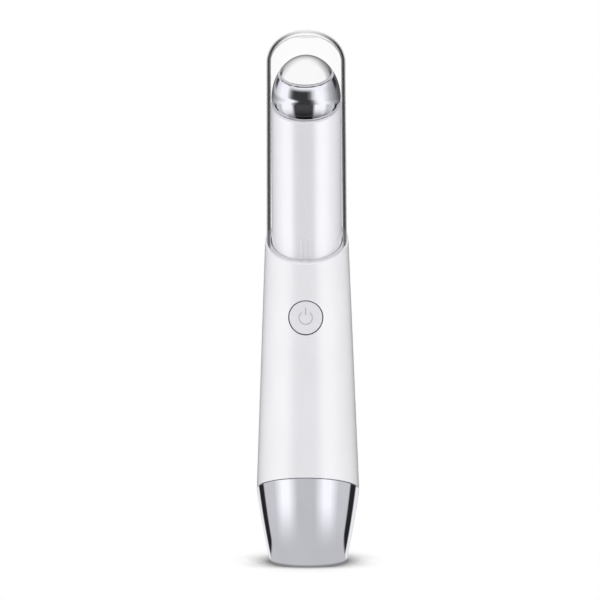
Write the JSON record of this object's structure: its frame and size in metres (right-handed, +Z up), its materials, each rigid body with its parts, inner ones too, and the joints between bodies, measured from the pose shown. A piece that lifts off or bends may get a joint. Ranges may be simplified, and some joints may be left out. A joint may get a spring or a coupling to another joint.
{
  "type": "eye massager",
  "caption": "Slim upright eye massager wand with a tapered handle, flush power button, chrome base cover, vibrating warm head and a clear keyed cap.",
  "frame": {"origin": "centre of the underside of the base, on the wand's long axis", "axes": "+Z up along the wand to the crown of the cap, -Y towards the front with the power button, +X to the right as seen from the front"},
  "size_m": [0.0286, 0.0286, 0.1495],
  "materials": {
    "pearl_white": "glossy pearl white moulded plastic",
    "button_white": "satin white moulded plastic",
    "clear_plastic": "clear moulded plastic",
    "chrome_plating": "bright plated finish",
    "plate_metal": "polished metal",
    "pale_silicone": "soft pale silicone",
    "dark_rubber": "dark rubber",
    "white_plastic": "matte white moulded plastic",
    "grey_plastic": "matte grey moulded plastic",
    "battery_wrap": "plain wrapped cell",
    "contact_brass": "stamped brass",
    "weight_metal": "sintered metal",
    "steel": "bright steel",
    "board_green": "coated circuit board",
    "coil_dark": "wound coil with ferrite ends",
    "capacitor_metal": "drawn can",
    "chip_black": "moulded black plastic",
    "heater_ceramic": "matte ceramic",
    "lead_red": "insulated lead",
    "lead_black": "insulated lead",
    "lead_white": "insulated lead"
  },
  "bodies": {
    "handle": {"handle_shell": "pearl_white", "neck_tube": "pearl_white", "base_socket": "grey_plastic", "chassis": "grey_plastic", "chassis_screw_front": "steel", "chassis_screw_back": "steel", "battery": "battery_wrap", "positive_contact": "contact_brass", "negative_strip": "contact_brass", "circuit_board": "board_green", "board_screw_left": "steel", "board_screw_right": "steel", "boost_coil": "coil_dark", "capacitor": "capacitor_metal", "control_chip": "chip_black", "switch_body": "chip_black", "button_guide": "white_plastic", "button_seal": "pale_silicone", "motor_cradle": "white_plastic", "motor_sleeve": "dark_rubber", "motor_can": "steel", "motor_end_cap": "white_plastic", "motor_lead_red": "lead_red", "motor_lead_black": "lead_black", "heater_lead_left": "lead_white", "heater_lead_right": "lead_white", "head_core": "white_plastic", "head_collar": "chrome_plating", "plate_gasket": "pale_silicone", "massage_plate": "plate_metal", "heater_disc": "heater_ceramic", "temperature_sensor": "chip_black"},
    "cap": {"clear_cap": "clear_plastic"},
    "base": {"base_cover": "chrome_plating", "base_insert": "white_plastic", "base_seal": "dark_rubber", "base_contact": "contact_brass", "battery_spring": "steel"},
    "button": {"power_button": "button_white", "switch_plunger": "chip_black"},
    "rotor": {"motor_shaft": "steel", "eccentric_weight": "weight_metal"}
  },
  "joints": [
    {"name": "cap_pull", "type": "slide", "parent": "handle", "child": "cap", "axis": [0, 0, 1], "range_m": [0, 0.065]},
    {"name": "base_pull", "type": "slide", "parent": "handle", "child": "base", "axis": [0, 0, -1], "range_m": [0, 0.03]},
    {"name": "button_press", "type": "slide", "parent": "handle", "child": "button", "axis": [0, 1, 0], "range_m": [0, 0.0005], "stiffness_N_per_m": 3000},
    {"name": "motor_spin", "type": "hinge", "parent": "handle", "child": "rotor", "pos_m": [0, 0, 0.115], "axis": [0, 0, 1], "continuous": true}
  ]
}
